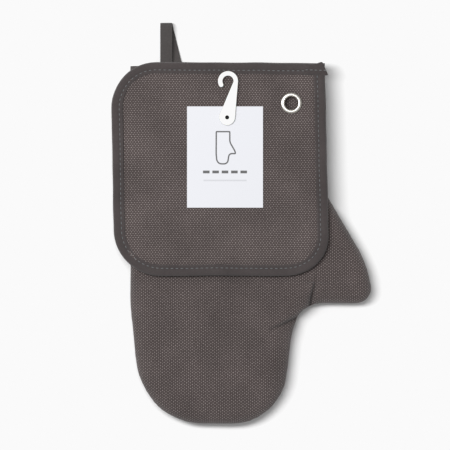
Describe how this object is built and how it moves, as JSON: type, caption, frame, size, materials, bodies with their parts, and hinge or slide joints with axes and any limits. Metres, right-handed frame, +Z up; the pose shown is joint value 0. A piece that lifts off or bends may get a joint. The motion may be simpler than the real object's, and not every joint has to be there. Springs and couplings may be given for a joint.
{
  "type": "oven mitt with pot holder",
  "caption": "Quilted canvas oven mitt with a hanging loop and lined hand space, a bound square pot holder with an eyelet lying on its cuff, and a swing tag.",
  "frame": {"origin": "on the surface that the set lies on, under the middle of its overall box", "axes": "+Y towards the cuff and the hanging loop, +X towards the thumb, +Z up through the lying set"},
  "size_m": [0.2049, 0.3179, 0.0309],
  "materials": {
    "canvas": "matte",
    "wadding": "matte",
    "lining": "matte",
    "binding_tape": "matte",
    "loop_tape": "matte",
    "stitching_thread": "matte",
    "seam_thread": "matte",
    "eyelet_metal": "satin",
    "tag_board": "satin",
    "white_plastic": "gloss",
    "black_nylon": "satin"
  },
  "bodies": {
    "mitt": {"mitt_front_canvas": "canvas", "mitt_front_wadding": "wadding", "mitt_front_lining": "lining", "mitt_back_canvas": "canvas", "mitt_back_wadding": "wadding", "mitt_back_lining": "lining", "mitt_seam_thread": "seam_thread", "cuff_binding": "binding_tape", "cuff_stitching": "stitching_thread"},
    "hanging_loop": {"hanging_loop": "loop_tape"},
    "potholder": {"holder_front_canvas": "canvas", "holder_wadding": "wadding", "holder_back_canvas": "canvas", "holder_binding": "binding_tape", "holder_stitching": "stitching_thread", "eyelet": "eyelet_metal", "eyelet_washer": "eyelet_metal", "tag_pin": "black_nylon"},
    "tag": {"tag_card": "tag_board"},
    "tag_hook": {"tag_hook": "white_plastic"}
  },
  "joints": [
    {"name": "loop_fold", "type": "hinge", "parent": "mitt", "child": "hanging_loop", "pos_m": [-0.0562, 0.1243, 0.005], "axis": [1, 0, 0], "range_deg": [0, 60]},
    {"name": "potholder_lift", "type": "slide", "parent": "mitt", "child": "potholder", "axis": [0, 0, 1], "range_m": [0, 0.12]},
    {"name": "tag_swing", "type": "hinge", "parent": "potholder", "child": "tag", "pos_m": [-0.0116, 0.0839, 0.0288], "axis": [0, 0, 1], "continuous": true},
    {"name": "hook_swing", "type": "hinge", "parent": "potholder", "child": "tag_hook", "pos_m": [-0.0116, 0.0839, 0.0301], "axis": [0, 0, 1], "continuous": true}
  ]
}
